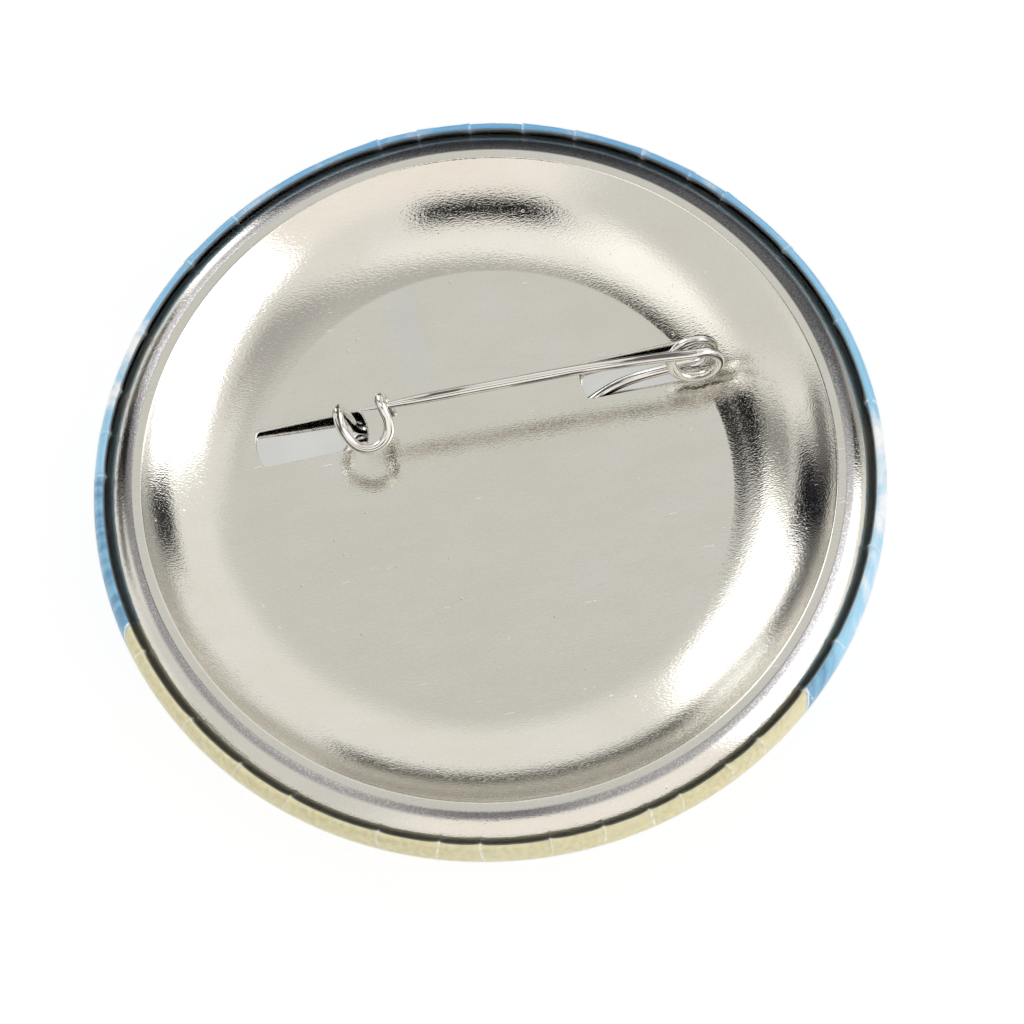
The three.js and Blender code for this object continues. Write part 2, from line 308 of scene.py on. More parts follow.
# The press tool has scuffed a dark ring at the top of the shoulder; towards one side it is painted darker and
# wider to stand in for a dark reflection.
GALLED = (0.24, 0.235, 0.27, 1)
PAINTED_REFLECTION_DARK = (0.06, 0.062, 0.075, 1)
GALLED_FROM = (33.4, 33.6)
GALLED_TO = (34.0, 34.4)
PAINTED_REFLECTION_SIDE = math.radians(50)
PAINTED_REFLECTION_FROM = (15.0, 29.0)  # distances from the middle towards that side
PAINTED_REFLECTION_WIDENING = 0.8  # how much wider the ring is there


def scuffed_ring_with_painted_reflection(g, flat):
    """How scuffed the shoulder is at each place, with a painted dark reflection deepening it towards one side,
    and how near that place is to that side.
    """
    radius = g.length(g.stretched(flat, (1, 1, 0)))
    towards = (math.cos(PAINTED_REFLECTION_SIDE), math.sin(PAINTED_REFLECTION_SIDE), 0)
    reflection_side_share = g.ramp(g.vector("DOT_PRODUCT", flat, towards).outputs["Value"], *PAINTED_REFLECTION_FROM)
    outer = g.math("SUBTRACT", radius, g.math("MULTIPLY", reflection_side_share, PAINTED_REFLECTION_WIDENING))
    ring = g.math("MULTIPLY", g.ramp(radius, *GALLED_FROM), g.ramp(outer, *GALLED_TO, 1.0, 0.0))
    patchy = g.ramp(g.noise(flat, 6.0, detail=3.0, roughness=0.7), 0.34, 0.56, 0.5, 1.0)
    return g.math("MULTIPLY", ring, g.math("MAXIMUM", patchy, g.math("MULTIPLY", reflection_side_share, 0.9))), reflection_side_share


def tinplate_material():
    """Bright tinplate with its straight rolling grain, mottling, specks and handling scratches, and a scuffed
    ring with a painted dark reflection on one side.
    """
    material, g, shader = new_material("back_tinplate")
    flat = g.millimetres()
    grain = g.noise(g.stretched(flat, (0.5, 16.0, 3.0), -GRAIN_ANGLE), 1.0, detail=3.0, roughness=0.7)
    speckle = g.noise(g.stretched(flat, (3.0, 8.0, 6.0), -GRAIN_ANGLE), 1.0, detail=1.0, roughness=0.5)
    mottle = g.noise(g.stretched(flat, (0.12, 0.3, 0.3), -GRAIN_ANGLE), 1.0, detail=4.0, roughness=0.6)
    blotch = g.noise(flat, 0.07, detail=3.0)
    lines = g.noise(g.stretched(flat, (0.25, 9.0, 1.0), SCRATCH_ANGLE), 1.0, detail=1.0)
    scratches = g.math("MULTIPLY", g.ramp(lines, 0.74, 0.78), g.ramp(g.noise(flat, 0.6), 0.56, 0.62))
    cells = g.node("ShaderNodeTexVoronoi", {"Vector": flat, "Scale": 0.42, "Randomness": 1.0})
    specks = g.ramp(cells.outputs["Distance"], 0.035, 0.07, 1.0, 0.0)
    scuffing_and_painted_reflection, reflection_side_share = scuffed_ring_with_painted_reflection(g, flat)
    smear_at = g.vector("SUBTRACT", flat, SMEAR_PLACE).outputs[0]
    smear = g.ramp(g.length(g.stretched(smear_at, SMEAR_SHAPE, SMEAR_TURN)), 0.2, 1.0, 1.0, 0.0)
    smear = g.math("MULTIPLY", smear, g.ramp(mottle, 0.35, 0.6, 0.3, 1.0))

    base = g.mix(g.ramp(blotch, 0.35, 0.7), TIN, TIN_PALE)
    base = g.mix(g.ramp(mottle, 0.3, 0.75, 0.0, 0.5), base, TIN_MOTTLE)
    base = g.mix(g.ramp(speckle, 0.3, 0.7, 0.0, 0.16), base, TIN_DARK)
    base = g.mix(g.ramp(grain, 0.35, 0.65, 0.0, 0.14), base, TIN_DARK)
    base = g.mix(g.math("MULTIPLY", specks, 0.35), base, SPECK)
    base = g.mix(g.math("MULTIPLY", scratches, 0.5), base, SCRATCH)
    # painted reflection: towards one side the scuffed ring turns near black, standing in for a dark reflection
    scuff_and_reflection_colour = g.mix(reflection_side_share, GALLED, PAINTED_REFLECTION_DARK)
    base = g.mix(g.math("MULTIPLY", scuffing_and_painted_reflection, g.ramp(reflection_side_share, 0.0, 1.0, 0.8, 0.97)), base, scuff_and_reflection_colour)
    g.feed(shader.inputs["Base Color"], g.mix(g.math("MULTIPLY", smear, 0.3), base, SMEAR))
    shader.inputs["Metallic"].default_value = 1.0
    roughness = g.math("ADD", g.ramp(mottle, 0.25, 0.8, 0.07, 0.11), g.math("MULTIPLY", scuffing_and_painted_reflection, 0.2))
    g.feed(shader.inputs["Roughness"], roughness)
    shader.inputs["Anisotropic"].default_value = 0.3
    tangent = g.node("ShaderNodeTangent", direction_type="UV_MAP", uv_map="grain")
    g.feed(shader.inputs["Tangent"], tangent.outputs[0])

    height = g.math("ADD", g.math("MULTIPLY", grain, 0.08), speckle)
    height = g.math("SUBTRACT", height, g.math("MULTIPLY", scratches, 0.8))
    height = g.math("ADD", height, g.math("MULTIPLY", specks, 0.8))
    g.feed(shader.inputs["Normal"], g.bump(height, 1.0, 0.012))
    return material


def shell_material():
    """The front shell's bright, nearly mirror-like tinplate, seen through the slots."""
    material, g, shader = new_material("shell_tinplate")
    flat = g.millimetres()
    grain = g.noise(g.stretched(flat, (0.4, 12.0, 3.0), -GRAIN_ANGLE), 1.0, detail=3.0)
    stain = g.noise(flat, 0.25, detail=3.0)
    base = g.mix(g.ramp(stain, 0.3, 0.7), (0.80, 0.80, 0.79, 1), (0.84, 0.845, 0.84, 1))
    g.feed(shader.inputs["Base Color"], base)
    shader.inputs["Metallic"].default_value = 1.0
    g.feed(shader.inputs["Roughness"], g.ramp(grain, 0.2, 0.8, 0.07, 0.13))
    g.feed(shader.inputs["Normal"], g.bump(grain, 0.12, 0.003))
    return material


NICKEL = (0.84, 0.825, 0.79, 1)
NICKEL_WORN = (0.74, 0.72, 0.68, 1)
NICKEL_PIT = (0.55, 0.53, 0.50, 1)
PAINTED_REFLECTION_STREAK = (0.07, 0.065, 0.06, 1)


def wire_material():
    """Bright nickel plate over drawn spring wire, with draw lines in its bump, dark streaks painted along it as
    reflections, pits and worn spots.
    """
    material, g, shader = new_material("nickel_wire")
    flat = g.millimetres()
    along = g.node("ShaderNodeUVMap", uv_map="wire").outputs[0]
    lines = g.noise(g.stretched(along, (40.0, 0.5, 1.0)), 1.0, detail=2.0)
    pits = g.noise(flat, 5.0, detail=2.0)
    wear = g.noise(flat, 0.5, detail=3.0)
    tone = g.mix(g.ramp(wear, 0.4, 0.75), NICKEL, NICKEL_WORN)
    tone = g.mix(g.ramp(pits, 0.62, 0.75, 0.0, 0.4), tone, NICKEL_PIT)
    # painted reflection: near-black streaks along the wire stand in for dark reflections
    painted_reflection_streaks = g.ramp(g.noise(g.stretched(along, (9.0, 0.08, 1.0)), 1.0, detail=2.0), 0.55, 0.60, 0.0, 0.9)
    g.feed(shader.inputs["Base Color"], g.mix(painted_reflection_streaks, tone, PAINTED_REFLECTION_STREAK))
    shader.inputs["Metallic"].default_value = 1.0
    g.feed(shader.inputs["Roughness"], g.ramp(wear, 0.3, 0.8, 0.08, 0.16))
    height = g.math("ADD", g.math("MULTIPLY", lines, 0.6), g.math("MULTIPLY", pits, 0.4))
    g.feed(shader.inputs["Normal"], g.bump(height, 0.15, 0.006))
    return material


DOWN_ANGLE = math.radians(251.4)  # the picture's lower edge lies this way round the badge
HORIZON = 20.3  # the sand begins this far below the picture's middle
SKY_BLUE = rgb(38, 160, 216)
DEEP_BLUE = rgb(16, 132, 184)
PALE_BLUE = rgb(140, 208, 240)
WHITE = rgb(250, 251, 252)
SAND = rgb(228, 220, 164)
DARK_SAND = rgb(208, 196, 146)
PALE_SAND = rgb(232, 224, 186)
PALE_SEA = rgb(96, 182, 218)
TUCK_SHADE = (0.02, 0.03, 0.04, 1)
CRINKLE_BUMP = (0.5, 0.05)  # strength, and height in millimetres
RIBS_FROM = (36.0, 40.0)  # the waves turn to ribs between these distances from the middle, along the sheet


def crinkles(g, flat):
    """Gentle waves on the front that gather into fine radial ribs where the sheet rolls over the rim."""
    split = g.node("ShaderNodeSeparateXYZ", {"Vector": flat})
    around = g.math("MULTIPLY", g.math("ARCTAN2", split.outputs[1], split.outputs[0]), BADGE_RADIUS)
    outwards = g.length(flat)
    polar = g.node("ShaderNodeCombineXYZ", {0: around, 1: g.math("MULTIPLY", outwards, 0.35)}).outputs[0]
    ribs = g.noise(polar, 2.0, detail=2.0)
    return g.mix(g.ramp(outwards, *RIBS_FROM), g.noise(flat, 0.3, detail=2.0), ribs)


def print_material():
    """A made-up seaside picture: sky with clouds, a band of sea and a strip of sand, on coated paper, with
    painted glints along the pleats' creases and painted shade where it tucks in.
    """
    material, g, shader = new_material("printed_paper")
    flat = g.node("ShaderNodeUVMap", uv_map="print").outputs[0]
    split = g.node("ShaderNodeSeparateXYZ", {"Vector": flat})
    x, y = split.outputs[0], split.outputs[1]
    cos, sin = math.cos(DOWN_ANGLE), math.sin(DOWN_ANGLE)
    level = -DOWN_ANGLE - math.pi / 2
    down = g.math("ADD", g.math("MULTIPLY", x, cos), g.math("MULTIPLY", y, sin))
    across = g.math("SUBTRACT", g.math("MULTIPLY", y, cos), g.math("MULTIPLY", x, sin))
    drift = g.noise(g.stretched(flat, (0.05, 0.14, 1.0), level), 1.0, detail=5.0, roughness=0.55)
    puffs = g.noise(flat, 0.075, detail=6.0, roughness=0.6, distortion=0.4)
    grain = g.noise(flat, 1.6, detail=3.0)

    sky = g.mix(g.ramp(down, -42.0, 10.0), SKY_BLUE, PALE_BLUE)
    sky = g.mix(g.ramp(across, 8.0, 34.0, 0.0, 0.5), sky, PALE_BLUE)
    cloud = g.math("MULTIPLY", g.ramp(puffs, 0.52, 0.66), g.ramp(down, -34.0, -6.0, 0.5, 1.0))
    cloud = g.math("MAXIMUM", cloud, g.ramp(drift, 0.58, 0.68))
    sky = g.mix(cloud, sky, WHITE)
    wave = g.noise(g.stretched(flat, (0.12, 1.1, 1.0), level), 1.0, detail=3.0)
    sea = g.mix(g.ramp(wave, 0.35, 0.7), DEEP_BLUE, PALE_SEA)
    sea_top = g.ramp(across, -38.0, 34.0, 4.0, 15.5, smooth=False)
    edge = g.math("ADD", down, g.math("MULTIPLY", g.math("SUBTRACT", drift, 0.5), 5.0))
    in_sea = g.ramp(g.math("SUBTRACT", edge, sea_top), -0.8, 1.2)
    picture = g.mix(in_sea, sky, sea)
    shore = g.math("ADD", down, g.math("MULTIPLY", g.math("SUBTRACT", puffs, 0.5), 2.0))
    foam = g.ramp(g.math("ABSOLUTE", g.math("SUBTRACT", shore, HORIZON - 0.2)), 0.06, 0.16, 0.8, 0.0)
    picture = g.mix(foam, picture, WHITE)
    sand = g.mix(g.ramp(grain, 0.3, 0.75), SAND, DARK_SAND)
    sand = g.mix(g.ramp(drift, 0.45, 0.75, 0.0, 0.6), sand, PALE_SAND)
    picture = g.mix(g.ramp(shore, HORIZON - 0.15, HORIZON + 0.15), picture, sand)
    creases = g.node("ShaderNodeUVMap", uv_map="creases").outputs[0]
    split = g.node("ShaderNodeSeparateXYZ", {"Vector": creases})
    crease, tucked = split.outputs[0], split.outputs[1]
    # painted glints: white lines along the pleats' creases, broken up by noise
    glint_breakup = g.ramp(g.noise(flat, 3.0, detail=3.0), 0.42, 0.52)
    picture = g.mix(g.math("MULTIPLY", crease, glint_breakup), picture, WHITE)
    picture = g.mix(g.ramp(tucked, 0.3, 0.8, 0.0, 0.8), picture, TUCK_SHADE)
    g.feed(shader.inputs["Base Color"], picture)
    g.feed(shader.inputs["Roughness"], g.ramp(grain, 0.2, 0.8, 0.38, 0.5))
    shader.inputs["Coat Weight"].default_value = 0.5
    shader.inputs["Coat Roughness"].default_value = 0.08
    g.feed(shader.inputs["Coat Normal"], g.bump(crinkles(g, flat), *CRINKLE_BUMP))
    g.feed(shader.inputs["Normal"], g.bump(grain, 0.1, 0.01))
    return material


def film_material():
    """Thin clear polyester film, almost invisible except for its gloss."""
    material, g, shader = new_material("clear_film")
    flat = g.node("ShaderNodeUVMap", uv_map="print").outputs[0]
    haze = g.noise(flat, 0.4, detail=4.0)
    g.feed(shader.inputs["Base Color"], g.mix(haze, (0.90, 0.95, 0.98, 1), (0.97, 0.99, 1.0, 1)))
    g.feed(shader.inputs["Roughness"], g.ramp(haze, 0.3, 0.7, 0.05, 0.12))
    shader.inputs["Alpha"].default_value = 0.08
    shader.inputs["IOR"].default_value = 1.58
    g.feed(shader.inputs["Normal"], g.bump(crinkles(g, flat), *CRINKLE_BUMP))
    return material


# ---- Sections of the turned parts: (radius, height, outward normal) ----

def unit(x, y):
    size = math.hypot(x, y)
    return np.array((x / size, y / size))


def dome_height(radius):
    return DOME_RADIUS - math.sqrt(DOME_RADIUS ** 2 - radius ** 2)


def front_section():
    """The badge's outside from the rest flat to the end of the rim's curl, as points and outward normals."""
    section = [(np.array((0.0, 0.0)), np.array((0.0, -1.0)))]
    for radius in np.linspace(REST_FLAT_RADIUS, DOME_EDGE_RADIUS, 16):
        lean = math.asin(radius / DOME_RADIUS)
        height = dome_height(radius) - dome_height(REST_FLAT_RADIUS)
        section.append((np.array((radius, height)), np.array((math.sin(lean), -math.cos(lean)))))
    start, normal = section[-1]
    pulls = [
        start, start + ROLL_START_PULL * np.array((-normal[1], normal[0])),
        np.array((BADGE_RADIUS, WIDEST_HEIGHT - ROLL_END_PULL)), np.array((BADGE_RADIUS, WIDEST_HEIGHT)),
    ]
    for t in np.linspace(0, 1, 15)[1:]:
        shares = ((1 - t) ** 3, 3 * t * (1 - t) ** 2, 3 * t * t * (1 - t), t ** 3)
        place = sum(w * p for w, p in zip(shares, pulls))
        shares = ((1 - t) ** 2, 2 * t * (1 - t), t * t)
        slope = sum(w * (b - a) for w, a, b in zip(shares, pulls[:-1], pulls[1:]))
        section.append((place, unit(slope[1], -slope[0])))
    centre = np.array((BADGE_RADIUS - CURL_RADIUS, WIDEST_HEIGHT))
    for angle in np.linspace(0, CURL_ANGLE, CURL_STEPS + 1)[1:]:
        outwards = np.array((math.cos(angle), math.sin(angle)))
        section.append((centre + CURL_RADIUS * outwards, outwards))
    return section


def set_in(section, depth):
    """The section moved inwards by depth."""
    return [(place - depth * normal, normal) for place, normal in section]


def edge_fold(section, radius, steps):
    """The half circle that turns a sheet over the shell's edge."""
    place, normal = section[-1]
    centre = place - FOLD_RADIUS * normal
    start = math.atan2(normal[1], normal[0])
    folded = []
    for angle in np.linspace(start, start + math.pi, steps + 1)[1:-1]:
        outwards = np.array((math.cos(angle), math.sin(angle)))
        folded.append((centre + radius * outwards, outwards))
    return folded


def tuck(section, depth):
    """The stretch of a sheet tucked in behind the shell's edge."""
    points = [(section[-1][0] - depth * section[-1][1], -section[-1][1])]
    centre = np.array((BADGE_RADIUS - CURL_RADIUS, WIDEST_HEIGHT))
    radius = CURL_RADIUS - depth
    for share in (0.25, 0.5, 0.75, 1.0):
        angle = CURL_ANGLE - share * TUCK_LENGTH / radius
        outwards = np.array((math.cos(angle), math.sin(angle)))
        points.append((centre + radius * outwards, -outwards))
    return points


def plate_section():
    """The back plate's upper face, from just inside the floor's bend to the lower edge of its skirt."""
    up = np.array((0.0, 1.0))
    bend_start = FLOOR_RADIUS - FLOOR_BEND_RADIUS * math.tan(WALL_START / 2)
    section = [(np.array((bend_start - FLOOR_LIP, FLOOR_HEIGHT)), up)]
    centre = np.array((bend_start, FLOOR_HEIGHT + FLOOR_BEND_RADIUS))
    for angle in np.linspace(0, WALL_START, 6):
        normal = np.array((-math.sin(angle), math.cos(angle)))
        section.append((centre - FLOOR_BEND_RADIUS * normal, normal))
    centre = np.array((
        FLOOR_RADIUS - WALL_RADIUS * math.sin(WALL_START), FLOOR_HEIGHT + WALL_RADIUS * math.cos(WALL_START),
    ))
    rounded = CREST_ROUNDING * math.tan(WALL_END / 2)
    for angle in np.linspace(WALL_START, WALL_END - rounded / WALL_RADIUS, 40)[1:-1]:
        normal = np.array((-math.sin(angle), math.cos(angle)))
        section.append((centre - WALL_RADIUS * normal, normal))
    crest = centre + WALL_RADIUS * np.array((math.sin(WALL_END), -math.cos(WALL_END)))
    centre = crest + np.array((rounded, -CREST_ROUNDING))
    for angle in np.linspace(-WALL_END, 0, 9):
        normal = np.array((math.sin(angle), math.cos(angle)))
        section.append((centre + CREST_ROUNDING * normal, normal))
    section.append((crest + np.array((CREST_WIDTH, 0.0)), up))
    slope = 0.0
    for radius, end in SHOULDER_ARCS:
        centre = section[-1][0] - radius * np.array((math.sin(slope), math.cos(slope)))
        for angle in np.linspace(slope, end, 11)[1:]:
            normal = np.array((math.sin(angle), math.cos(angle)))
            section.append((centre + radius * normal, normal))
        slope = end
    bend = section[-1][0]
    normal = unit(bend[1] - SKIRT_HEIGHT, SKIRT_RADIUS - bend[0])
    section.append((np.array((SKIRT_RADIUS, SKIRT_HEIGHT)), normal))
    return section


# ---- Meshes ----

def turned_rows(section, angles, lift=None):
    """Rows of points, one for each entry of the section, around the axis. lift moves a row along its normal."""
    rows = []
    for index, (place, normal) in enumerate(section):
        raised = np.zeros(len(angles)) if lift is None else lift[index]
        radius = place[0] + raised * normal[0]
        height = place[1] + raised * normal[1]
        rows.append(np.stack((radius * np.cos(angles), radius * np.sin(angles), height), axis=1))
    return rows


def ring_faces(rows, count):
    """Quads between neighbouring rows, each a full circle of count points."""
    faces = []
    for row in range(rows - 1):
        after = row + 1
        for i in range(count):
            j = (i + 1) % count
            faces.append((row * count + i, row * count + j, after * count + j, after * count + i))
    return faces


def finish_piece(name, vertices, faces, material, nodes, maps=None):
    """A smooth mesh object from millimetre vertices, with doubles merged and faces turned outwards.

    maps holds the UV layers by name, with one pair for each vertex.
    """
    mesh = bpy.data.meshes.new(name)
    mesh.from_pydata([tuple(v * MM for v in place) for place in vertices], [], faces)
    for map_name, uv in (maps or {}).items():
        layer = mesh.uv_layers.new(name=map_name)
        corners = np.zeros(len(mesh.loops), dtype=int)
        mesh.loops.foreach_get("vertex_index", corners)
        layer.data.foreach_set("uv", np.asarray(uv, float)[corners].ravel())
    shape = bmesh.new()
    shape.from_mesh(mesh)
    bmesh.ops.remove_doubles(shape, verts=shape.verts, dist=MERGE_DISTANCE)
    bmesh.ops.recalc_face_normals(shape, faces=shape.faces)
    shape.to_mesh(mesh)
    shape.free()
    mesh.shade_smooth()
    mesh.materials.append(material)
    piece = bpy.data.objects.new(name, mesh)
    bpy.context.scene.collection.objects.link(piece)
    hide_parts(*nodes)
    return piece


def pleat_angles():
    """Angles around the rim: even steps, with extra ones close to each pleat's fold line."""
    even = np.arange(0, 360, RIM_STEP)
    extra = [p + d for p in PLEATS for d in PLEAT_STEPS]
    angles = np.unique(np.round(np.mod(np.concatenate((even, extra)), 360), 3))
    return np.radians(angles)


def pleat_relief(angles, slant):
    """How far the wrap stands out at each angle, and how strong the painted glint on its crease is there.

    Each pleat has a flap on one side of its fold line and a groove on the other.
    """
    dice = random.Random(PLEAT_SEED)
    height = WRAP_SLACK + LONG_RIPPLE * np.sin(LONG_RIPPLE_COUNT * angles + 3 * slant)
    height = height + SHORT_RIPPLE * np.sin(SHORT_RIPPLE_COUNT * angles - 2 * slant)
    crease = np.zeros(len(angles))
    for pleat in PLEATS:
        side = dice.choice((-1, 1))
        flap = dice.uniform(*FLAP_HEIGHTS)
        lean = dice.uniform(*FLAP_LEANS)
        reach = dice.uniform(*FLAP_LENGTHS)
        away = (np.degrees(angles) - pleat - lean * slant + 180) % 360 - 180
        away = np.radians(away) * BADGE_RADIUS * side
        raised = flap * np.exp(-np.abs(away) / reach)
        groove = -GROOVE_DEPTH * np.exp(-np.abs(away) / GROOVE_LENGTH)
        height += np.where(away >= 0, raised, groove)
        sharp = dice.uniform(*CREASE_STRENGTHS) * np.exp(-((away - CREASE_OFFSET) / CREASE_WIDTH) ** 2)
        crease = np.maximum(crease, sharp)
    return np.clip(height, 0.0, RELIEF_LIMIT), crease


def cusps(angles):
    """At each pleat the wrap's folded edge comes to a small point, towards the back plate."""
    reach = np.zeros(len(angles))
    for pleat in PLEATS:
        away = (np.degrees(angles) - pleat + 180) % 360 - 180
        reach = np.maximum(reach, np.exp(-np.abs(np.radians(away)) * BADGE_RADIUS / CUSP_LENGTH))
    return CUSP_HEIGHT * reach


def wrapped_sheet(name, depth, thickness, material, node):
    """Film or paper: over the front, around the rim in pleats, over the shell's edge and tucked in."""
    section = front_section()
    angles = pleat_angles()
    far_depth = 2 * FOLD_RADIUS - depth

    def side(inset, fold_radius, tuck_depth):
        return set_in(section, inset) + edge_fold(section, fold_radius, FOLD_STEPS) + tuck(section, tuck_depth)

    outside = side(depth, FOLD_RADIUS - depth, far_depth)
    inside = side(depth + thickness, FOLD_RADIUS - depth - thickness, far_depth - thickness)
    count = len(section)
    relief, creases = [], []
    for index in range(len(outside)):
        share = min(max((index - (count - 1 - CURL_STEPS)) / CURL_STEPS, 0), 1)
        height, crease = pleat_relief(angles, 1 - share)
        rise = share * share * (3 - 2 * share) * height
        tucked = min(max((index - count - SHADE_FROM * FOLD_STEPS) / (SHADE_SPREAD * FOLD_STEPS), 0), 1)
        creases.append(np.stack((crease * min(1, 3 * share), np.full(len(angles), tucked)), axis=1))
        over_edge = min(max((index - count + 1) / (FOLD_STEPS - 1), 0), 1)
        if index > count - 1:
            rise = rise * (1 - FOLD_FLATTENING * over_edge) + over_edge * cusps(angles)
        relief.append(rise)
    rows = turned_rows(outside, angles, relief) + turned_rows(inside, angles, relief)[::-1]
    lengths = np.cumsum([0] + [math.dist(a[0], b[0]) for a, b in zip(outside[:-1], outside[1:])])
    lengths = np.concatenate((lengths, lengths[::-1]))
    uv = np.concatenate([np.stack((s * np.cos(angles), s * np.sin(angles)), axis=1) for s in lengths])
    faces = ring_faces(len(rows), len(angles))
    return finish_piece(name, np.concatenate(rows), faces, material, [node], {
        "print": uv, "creases": np.concatenate(creases + creases[::-1]),
    })


def front_shell(material):
    """The front steel shell, under the film and paper."""
    section = front_section()
    angles = np.linspace(0, 2 * math.pi, SHELL_STEPS, endpoint=False)
    outside = set_in(section, SHELL_DEPTH) + edge_fold(section, STEEL_THICKNESS / 2, 6)
    inside = set_in(section, SHELL_DEPTH + STEEL_THICKNESS)
    rows = turned_rows(outside, angles) + turned_rows(inside, angles)[::-1]
    faces = ring_faces(len(rows), len(angles))
    vertices = np.concatenate(rows)
    return finish_piece("front_shell_fine", vertices, faces, material, ["front_shell"])


def slot_outline(centre_x, outset):
    """A slot's outline grown by outset: straight long sides, bowed ends and small round corners."""
    half = SLOT_WIDTH / 2 + outset
    length = SLOT_LENGTH / 2 + outset
    radius = SLOT_END_RADIUS + outset
    corner = SLOT_CORNER_RADIUS + outset
    sweep = math.asin((half - corner) / (radius - corner))
    outline = []
    for end in (1, -1):
        bow_x = end * (length - radius)
        corner_x = bow_x + end * (radius - corner) * math.cos(sweep)
        for turn in (-1, 1):
            corner_y = turn * end * (half - corner)
            arc = np.linspace(sweep, math.pi / 2, 7)
            for angle in (arc[::-1] if turn == -1 else arc):
                x = corner_x + end * corner * math.cos(angle)
                outline.append((x, corner_y + turn * end * corner * math.sin(angle)))
            if turn == -1:
                for angle in np.linspace(-sweep, sweep, 9)[1:-1]:
                    outline.append((bow_x + end * radius * math.cos(angle), end * radius * math.sin(angle)))
    return [(centre_x + x, SLOT_LINE_Y + y) for x, y in outline]


def inside(x, y, loop):
    """True where the point lies within the closed loop."""
    crossings = 0
    for (ax, ay), (bx, by) in zip(loop, loop[1:] + loop[:1]):
        if (ay > y) != (by > y) and x < ax + (y - ay) * (bx - ax) / (by - ay):
            crossings += 1
    return crossings % 2 == 1


def filled(outer, holes, guides):
    """Points and triangles that fill the outer loop except for the holes, with edges along the guide loops."""
    points = [Vector(p) for loop in (outer, *holes, *guides) for p in loop]
    edges, start = [], 0
    for loop in (outer, *holes, *guides):
        count = len(loop)
        edges += [(start + i, start + (i + 1) % count) for i in range(count)]
        start += count
    places, _, triangles, _, _, _ = delaunay_2d_cdt(points, edges, [], 0, 1e-6)
    kept = []
    for triangle in triangles:
        x = sum(places[i].x for i in triangle) / 3
        y = sum(places[i].y for i in triangle) / 3
        if inside(x, y, outer) and not any(inside(x, y, hole) for hole in holes):
            kept.append(tuple(triangle))
    return places, kept


def back_plate(material):
    """The dished back plate, with its two slots and their rounded edges."""
    section = plate_section()
    under = set_in(section, STEEL_THICKNESS)
    angles = np.linspace(0, 2 * math.pi, PLATE_STEPS, endpoint=False)
    join = next(i for i, (place, _) in enumerate(section) if place[0] > SLOT_REACH)
    rows = turned_rows(section[join:], angles) + turned_rows(under[join:], angles)[::-1]
    vertices = [tuple(v) for v in np.concatenate(rows)]
    faces = ring_faces(len(rows), PLATE_STEPS)
    slots = [SLOT_PAIR_SHIFT + side * SLOT_SPACING / 2 for side in (-1, 1)]
    margin = SLOT_EDGE_ROUNDING + SLOT_MARGIN

    def heights(profile, x, y):
        radii, levels = zip(*[place for place, _ in profile[:join + 1]])
        return float(np.interp(math.hypot(x, y), radii, levels))

    for profile in (section, under):
        holes = [slot_outline(x, margin) for x in slots]
        rings = [[(x, y) for x, y, _ in row] for row in turned_rows(profile[:join + 1], angles)]
        places, triangles = filled(rings[-1], holes, rings[:-1])
        start = len(vertices)
        vertices += [(place.x, place.y, heights(profile, place.x, place.y)) for place in places]
        faces += [tuple(i + start for i in triangle) for triangle in triangles]
    for x in slots:
        levels = [(margin, 0.0)]
        for angle in np.linspace(0, math.pi / 2, 5):
            outset = SLOT_EDGE_ROUNDING * (1 - math.sin(angle))
            levels.append((outset, SLOT_EDGE_ROUNDING * (1 - math.cos(angle))))
        levels += [(SLOT_BURR, STEEL_THICKNESS - SLOT_BURR), (margin, STEEL_THICKNESS)]
        loops = []
        for outset, drop in levels:
            loops.append([(px, py, heights(section, px, py) - drop) for px, py in slot_outline(x, outset)])
        start = len(vertices)
        vertices += [place for loop in loops for place in loop]
        for face in ring_faces(len(loops), len(loops[0])):
            faces.append(tuple(i + start for i in face))
    cos, sin = math.cos(GRAIN_ANGLE), math.sin(GRAIN_ANGLE)
    maps = {"grain": [(x * sin - y * cos, x * cos + y * sin) for x, y, _ in vertices]}
    return finish_piece("back_plate_fine", vertices, faces, material, ["back_plate"], maps)


# ---- The wire ----

def coil_point(share):
    """A place on the coil's centre line, from the arm's root at 0 to the base's foot at 1."""
    angle = 2 * math.pi * COIL_TURNS * share
    rise = COIL_RADIUS * math.cos(angle)
    x = COIL_CENTRE[0] + COIL_DRIFT * COIL_TURNS * share + COIL_RADIUS * math.sin(angle)
    y = COIL_CENTRE[1] + COIL_PITCH * angle / (2 * math.pi) + COIL_LEAN * rise
    return x, y, COIL_CENTRE[2] + rise


def smooth_route(points, step):
    """A centripetal Catmull-Rom curve through the points: its samples, and the sample at each point."""
    points = [np.array(p, float) for p in points]
    points = [2 * points[0] - points[1], *points, 2 * points[-1] - points[-2]]
    samples, marks = [], []
    for a, b, c, d in zip(points[:-3], points[1:-2], points[2:-1], points[3:]):
        knots = np.cumsum([0] + [max(np.linalg.norm(q - p) ** 0.5, 1e-6) for p, q in ((a, b), (b, c), (c, d))])
        marks.append(len(samples))
        count = max(2, math.ceil(np.linalg.norm(c - b) / step))
        for t in np.linspace(knots[1], knots[2], count, endpoint=False):
            one = [((k1 - t) * p + (t - k0) * q) / (k1 - k0)
                   for p, q, k0, k1 in zip((a, b, c), (b, c, d), knots[:3], knots[1:])]
            two = [((k1 - t) * p + (t - k0) * q) / (k1 - k0)
                   for p, q, k0, k1 in zip(one[:2], one[1:], knots[:2], knots[2:])]
            samples.append(((knots[2] - t) * two[0] + (t - knots[1]) * two[1]) / (knots[2] - knots[1]))
    marks.append(len(samples))
    samples.append(points[-2])
    return np.array(samples), marks


